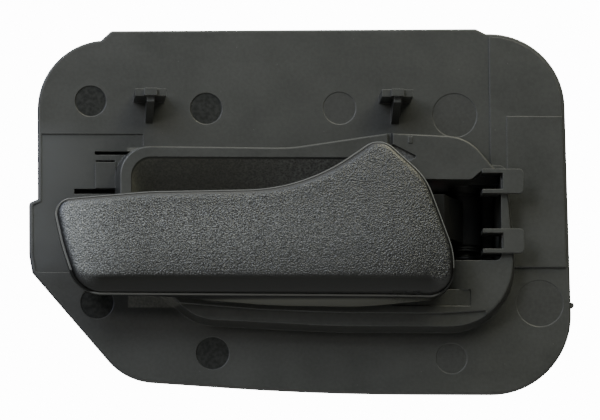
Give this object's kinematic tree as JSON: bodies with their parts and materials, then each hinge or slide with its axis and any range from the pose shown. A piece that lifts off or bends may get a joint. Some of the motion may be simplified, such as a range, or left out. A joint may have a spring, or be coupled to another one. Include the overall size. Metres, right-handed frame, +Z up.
{
  "type": "interior car door handle",
  "caption": "Interior car door release handle: a grained pull lever on a vertical pin in a moulded housing plate with a finger cup, collar and bezel hooks.",
  "frame": {"origin": "middle of the plate's length and height, on the rear face of the foam seal, which seats on the door's inner panel", "axes": "+X along the plate towards the hinge, +Y into the door, +Z up; the lever faces -Y"},
  "size_m": [0.1747, 0.0642, 0.1189],
  "materials": {
    "housing_plastic": "satin moulded",
    "foam": "open-cell foam",
    "lever_grain": "fine pebble grain",
    "lever_smooth": "satin moulded",
    "core_nylon": "glass-filled nylon",
    "zinc_steel": "zinc plated",
    "spring_steel": "oiled spring steel",
    "bush_acetal": "black acetal",
    "clip_acetal": "coloured acetal",
    "rubber": "matt rubber"
  },
  "bodies": {
    "housing": {"housing": "housing_plastic", "foam_seal": "foam", "hinge_pin": "zinc_steel", "pin_retainer": "spring_steel", "thrust_washer": "bush_acetal", "return_spring": "spring_steel", "rest_buffer_lower": "rubber", "rest_buffer_upper": "rubber", "open_stop_buffer": "rubber", "panel_clip_1": "spring_steel", "panel_clip_2": "spring_steel", "panel_clip_3": "spring_steel"},
    "lever": {"lever_face": "lever_grain", "lever_back_cover": "lever_smooth", "lever_core": "core_nylon", "lever_screw_outer": "zinc_steel", "lever_screw_middle": "zinc_steel", "lever_screw_inner": "zinc_steel", "hub_bush_upper": "bush_acetal", "hub_bush_lower": "bush_acetal"},
    "rod_clip": {"rod_clip": "clip_acetal"}
  },
  "joints": [
    {"name": "lever_swing", "type": "hinge", "parent": "housing", "child": "lever", "pos_m": [0.053, 0.005, 0], "axis": [0, 0, 1], "range_deg": [0, 30], "stiffness_Nm_per_rad": 0.35, "springref_deg": -20.05, "deforming": ["return_spring"]},
    {"name": "rod_clip_swivel", "type": "hinge", "parent": "lever", "child": "rod_clip", "pos_m": [0.053, 0.03, 0], "axis": [0, 0, 1], "range_deg": [-40, 40]}
  ]
}
